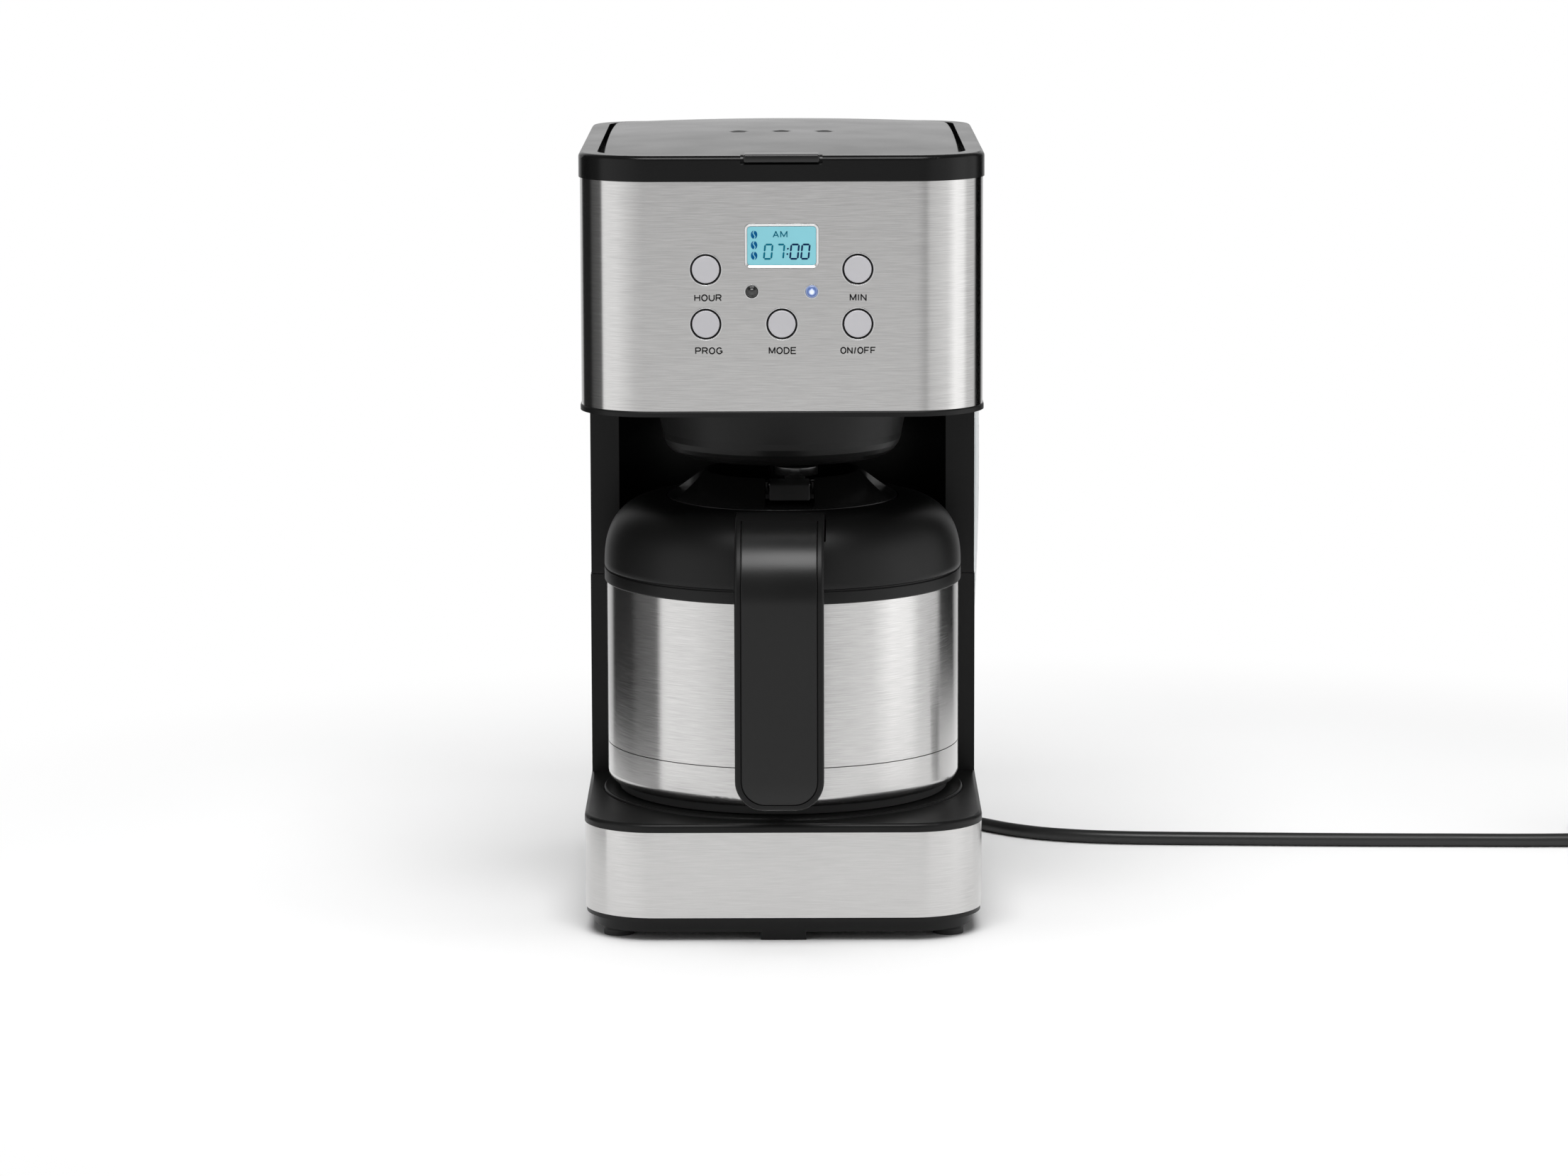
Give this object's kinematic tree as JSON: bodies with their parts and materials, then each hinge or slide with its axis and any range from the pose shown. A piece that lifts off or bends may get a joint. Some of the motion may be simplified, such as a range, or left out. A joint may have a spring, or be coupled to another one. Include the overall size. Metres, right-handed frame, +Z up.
{
  "type": "drip coffee maker",
  "caption": "Drip coffee maker: steel-wrapped head and base on a black tower, round filter bowl, and a steel thermal jug with a black handle standing in the bay.",
  "frame": {"origin": "bottom centre of the machine with its jug in place, on the surface it stands on", "axes": "+Z up, -Y out of the front with the controls and the jug's handle, +X to the right seen from the front"},
  "size_m": [0.5774, 0.3607, 0.3605],
  "materials": {
    "brushed_steel": "fine brushed grain",
    "liner_steel": "satin",
    "zinc_steel": "bright zinc",
    "black_plastic": "fine matte grain",
    "black_soft": "satin",
    "stand_black": "satin coated",
    "lid_satin": "satin gloss",
    "rubber": "matte",
    "silicone": "translucent silicone",
    "cast_aluminium": "as cast",
    "thermostat_case": "plain",
    "fuse_sleeve": "woven sleeve",
    "circuit_board": "solder mask",
    "white_plastic": "plain",
    "tank_clear": "smoky clear",
    "gauge_clear": "clear",
    "switch_black": "plain",
    "display_case": "plain",
    "bezel": "satin chrome",
    "display_glass": "backlit display",
    "button_silver": "satin silver lacquer",
    "led_dark": "unlit lens",
    "led_lit": "lit lens",
    "cord_black": "moulded sheath"
  },
  "bodies": {
    "machine": {"bottom_plate": "black_plastic", "rubber_feet": "rubber", "base_screws": "zinc_steel", "base_skirt": "brushed_steel", "base_deck": "black_plastic", "stand_plate": "stand_black", "heater": "cast_aluminium", "thermostat": "thermostat_case", "thermal_fuse": "fuse_sleeve", "power_board": "circuit_board", "tank_hose": "silicone", "check_valve": "white_plastic", "riser_hose": "silicone", "housing_lower": "black_plastic", "housing_upper": "black_plastic", "water_tank": "tank_clear", "gauge_window": "gauge_clear", "head_frame": "black_plastic", "head_panel": "brushed_steel", "top_ring": "lid_satin", "button_guide": "black_soft", "control_board": "circuit_board", "button_switches": "switch_black", "lcd_module": "display_case", "lcd_bezel": "bezel", "lcd_window": "display_glass", "control_rims": "bezel", "led_left": "led_dark", "led_right": "led_lit", "filter_housing": "black_plastic", "filter_basket": "black_soft", "drip_spring": "zinc_steel", "hinge_pin": "zinc_steel", "cord_gland": "cord_black", "power_cord": "cord_black", "cord_coil": "cord_black", "coil_tie": "black_soft", "mains_plug": "cord_black"},
    "top_lid": {"lid": "lid_satin"},
    "hour_button": {"button_hour": "button_silver"},
    "minute_button": {"button_min": "button_silver"},
    "program_button": {"button_prog": "button_silver"},
    "mode_button": {"button_mode": "button_silver"},
    "power_button": {"button_on_off": "button_silver"},
    "drip_stop": {"drip_valve": "black_soft"},
    "water_spout": {"spout_arm": "black_soft"},
    "jug": {"jug_shell": "brushed_steel", "jug_base_cup": "brushed_steel", "jug_foot_ring": "rubber", "jug_liner": "liner_steel", "jug_shoulder": "black_plastic", "jug_handle": "black_plastic", "handle_inlay": "black_soft"},
    "jug_cover": {"jug_lid": "lid_satin", "lid_seal": "silicone", "lever_pin": "zinc_steel"},
    "pour_rocker": {"pour_lever": "lid_satin"}
  },
  "joints": [
    {"name": "lid_hinge", "type": "hinge", "parent": "machine", "child": "top_lid", "pos_m": [0, 0.131, 0.3525], "axis": [-1, 0, 0], "range_deg": [0, 100]},
    {"name": "hour_press", "type": "slide", "parent": "machine", "child": "hour_button", "axis": [0, 1, 0], "range_m": [0, 0.001], "stiffness_N_per_m": 400, "springref_m": -0.001},
    {"name": "minute_press", "type": "slide", "parent": "machine", "child": "minute_button", "axis": [0, 1, 0], "range_m": [0, 0.001], "stiffness_N_per_m": 400, "springref_m": -0.001},
    {"name": "program_press", "type": "slide", "parent": "machine", "child": "program_button", "axis": [0, 1, 0], "range_m": [0, 0.001], "stiffness_N_per_m": 400, "springref_m": -0.001},
    {"name": "mode_press", "type": "slide", "parent": "machine", "child": "mode_button", "axis": [0, 1, 0], "range_m": [0, 0.001], "stiffness_N_per_m": 400, "springref_m": -0.001},
    {"name": "power_press", "type": "slide", "parent": "machine", "child": "power_button", "axis": [0, 1, 0], "range_m": [0, 0.001], "stiffness_N_per_m": 400, "springref_m": -0.001},
    {"name": "spout_swing", "type": "hinge", "parent": "machine", "child": "water_spout", "pos_m": [-0.04, 0.071, 0.35], "axis": [0, 0, 1], "range_deg": [0, 65]},
    {"name": "drip_stop_lift", "type": "slide", "parent": "machine", "child": "drip_stop", "axis": [0, 0, 1], "range_m": [0, 0.003], "stiffness_N_per_m": 300, "springref_m": -0.002, "deforming": ["drip_spring"]},
    {"name": "jug_slide", "type": "slide", "parent": "machine", "child": "jug", "axis": [0, -1, 0], "range_m": [0, 0.19]},
    {"name": "jug_cover_turn", "type": "hinge", "parent": "jug", "child": "jug_cover", "pos_m": [0, -0.016, 0.195], "axis": [0, 0, 1], "range_deg": [0, 45]},
    {"name": "pour_rock", "type": "hinge", "parent": "jug_cover", "child": "pour_rocker", "pos_m": [0, -0.041, 0.201], "axis": [1, 0, 0], "range_deg": [0, 4], "stiffness_Nm_per_rad": 0.3, "springref_deg": -11.46}
  ]
}
